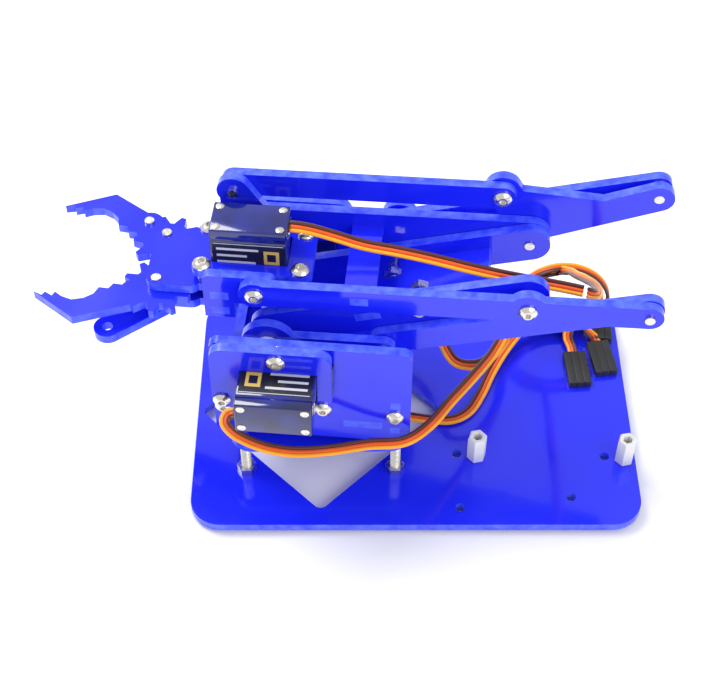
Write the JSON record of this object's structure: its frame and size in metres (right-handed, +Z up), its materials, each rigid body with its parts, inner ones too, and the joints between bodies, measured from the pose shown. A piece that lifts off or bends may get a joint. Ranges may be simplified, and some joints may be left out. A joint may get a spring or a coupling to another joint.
{
  "type": "desktop robot arm",
  "caption": "Small desktop robot arm with a turning base, parallel-link arm and forearm that keep the gripper level, and a geared two-jaw gripper, driven by micro servos.",
  "frame": {"origin": "On the floor under the middle of the object's box, leaving out the leads. The turntable axis is at X -10.2 mm, Y -2 mm.", "axes": "+X from the gripper towards the back of the arm, +Z up. The arm is turned 5.3 degrees clockwise on its turntable, seen from above."},
  "size_m": [0.1908, 0.096, 0.0987],
  "materials": {
    "acrylic": "cast acrylic sheet, gloss faces and laser-cut edges",
    "servo_case": "dark translucent blue moulding",
    "horn": "moulded nylon",
    "nickel": "nickel-plated steel",
    "nylon": "moulded nylon",
    "wire": "brown, red and orange-yellow flat cable",
    "plug": "black moulding"
  },
  "bodies": {
    "base": {"base_plate": "acrylic", "deck_plate": "acrylic", "base_screws": "nickel", "deck_nuts": "nickel", "base_servo": "servo_case", "base_servo_collar": "acrylic", "board_standoffs": "nylon", "base_lead": "wire", "lead_coil": "wire", "lead_tails": "wire", "lead_plugs": "plug"},
    "turret": {"base_horn": "horn", "turret_floor": "acrylic", "near_side_plate": "acrylic", "far_side_plate": "acrylic", "front_cross_plate": "acrylic", "rear_cross_plate": "acrylic", "turret_screws": "nickel", "frame_nuts": "nickel", "elbow_servo": "servo_case", "shoulder_servo": "servo_case", "side_servo_collars": "acrylic", "elbow_lead": "wire", "shoulder_lead": "wire", "lead_drop": "wire"},
    "main_arm": {"shoulder_horn": "horn", "near_arm_plate": "acrylic", "far_arm_plate": "acrylic", "arm_brace": "acrylic", "arm_screws": "nickel", "arm_nuts": "nickel"},
    "elbow_crank": {"elbow_horn": "horn", "elbow_lever": "acrylic"},
    "crank_pin": {"lever_pin": "nickel"},
    "elbow_rod": {"elbow_link": "acrylic"},
    "forearm": {"near_forearm_link": "acrylic", "far_forearm_link": "acrylic", "forearm_crossbar": "acrylic", "stub_screw": "nickel"},
    "triangle": {"triangle_plate": "acrylic", "triangle_screws": "nickel"},
    "upper_rod": {"upper_link": "acrylic"},
    "lower_rod": {"lower_link": "acrylic"},
    "gripper": {"gripper_top_plate": "acrylic", "gripper_base_plate": "acrylic", "near_wrist_bracket": "acrylic", "far_wrist_bracket": "acrylic", "gripper_servo": "servo_case", "gripper_servo_collar": "acrylic", "gripper_screws": "nickel", "gripper_lead": "wire"},
    "grip_crank": {"gripper_horn": "horn", "jaw_lever": "acrylic", "jaw_lever_screw": "nickel"},
    "grip_rod": {"jaw_link": "acrylic"},
    "far_jaw_body": {"far_jaw": "acrylic", "far_jaw_screw": "nickel"},
    "near_jaw_body": {"near_jaw": "acrylic", "near_jaw_arm": "acrylic", "near_jaw_screw": "nickel"}
  },
  "joints": [
    {"name": "base_yaw", "type": "hinge", "parent": "base", "child": "turret", "pos_m": [-0.0102, -0.002, 0.02465], "axis": [0, 0, 1], "range_deg": [-84.7, 95.3]},
    {"name": "shoulder", "type": "hinge", "parent": "turret", "child": "main_arm", "pos_m": [-0.02414, -0.00071, 0.05565], "axis": [-0.0924, -0.9957, 0], "range_deg": [-1, 95]},
    {"name": "elbow_drive", "type": "hinge", "parent": "turret", "child": "elbow_crank", "pos_m": [-0.02553, -0.01564, 0.05565], "axis": [-0.0924, -0.9957, 0], "range_deg": [-20, 1.25]},
    {"name": "elbow_level", "type": "hinge", "parent": "main_arm", "child": "triangle", "pos_m": [0.05415, 0.01111, 0.07784], "axis": [-0.0924, -0.9957, 0], "range_deg": [-95, 1]},
    {"name": "elbow", "type": "hinge", "parent": "triangle", "child": "forearm", "pos_m": [0.05239, -0.00781, 0.07784], "axis": [-0.0924, -0.9957, 0], "range_deg": [-20, 1.25]},
    {"name": "wrist", "type": "hinge", "parent": "forearm", "child": "gripper", "pos_m": [-0.02726, -0.00042, 0.07679], "axis": [-0.0924, -0.9957, 0], "range_deg": [-1.25, 20]},
    {"name": "upper_link_pivot", "type": "hinge", "parent": "triangle", "child": "upper_rod", "pos_m": [0.04464, 0.00898, 0.09326], "axis": [-0.0924, -0.9957, 0], "range_deg": [-20, 1.25]},
    {"name": "lower_link_pivot", "type": "hinge", "parent": "turret", "child": "lower_rod", "pos_m": [0.0146, 0.0198, 0.0716], "axis": [-0.0924, -0.9957, 0], "range_deg": [-1, 95]},
    {"name": "crank_pin_shift", "type": "slide", "parent": "turret", "child": "crank_pin", "axis": [0.1319, -0.0122, 0.9912], "range_m": [-0.01215, 0.0008]},
    {"name": "elbow_rod_pivot", "type": "hinge", "parent": "crank_pin", "child": "elbow_rod", "pos_m": [0.00965, -0.01539, 0.05611], "axis": [-0.0924, -0.9957, 0], "range_deg": [-1, 95]},
    {"name": "jaw", "type": "hinge", "parent": "gripper", "child": "far_jaw_body", "pos_m": [-0.05687, 0.01242, 0.06865], "axis": [0, 0, 1], "range_deg": [0, 28]},
    {"name": "near_jaw_pivot", "type": "hinge", "parent": "gripper", "child": "near_jaw_body", "pos_m": [-0.05861, -0.0064, 0.06865], "axis": [0, 0, 1], "range_deg": [-28, 0]},
    {"name": "grip_drive", "type": "hinge", "parent": "gripper", "child": "grip_crank", "pos_m": [-0.0247, -0.00025, 0.06265], "axis": [0, 0, 1], "range_deg": [0, 28]},
    {"name": "grip_rod_pivot", "type": "hinge", "parent": "grip_crank", "child": "grip_rod", "pos_m": [-0.03109, 0.00777, 0.06265], "axis": [0, 0, 1], "range_deg": [-28, 0]}
  ],
  "couplings": [
    {"joint": "elbow_level", "follows": "shoulder", "ratio": -1},
    {"joint": "elbow", "follows": "elbow_drive", "ratio": 1},
    {"joint": "wrist", "follows": "elbow_drive", "ratio": -1},
    {"joint": "upper_link_pivot", "follows": "elbow_drive", "ratio": 1},
    {"joint": "lower_link_pivot", "follows": "shoulder", "ratio": 1},
    {"joint": "crank_pin_shift", "follows": "elbow_drive", "m_per_rad": 0.034684},
    {"joint": "elbow_rod_pivot", "follows": "shoulder", "ratio": 1},
    {"joint": "near_jaw_pivot", "follows": "jaw", "ratio": -1},
    {"joint": "grip_drive", "follows": "jaw", "ratio": 1},
    {"joint": "grip_rod_pivot", "follows": "jaw", "ratio": -1}
  ]
}
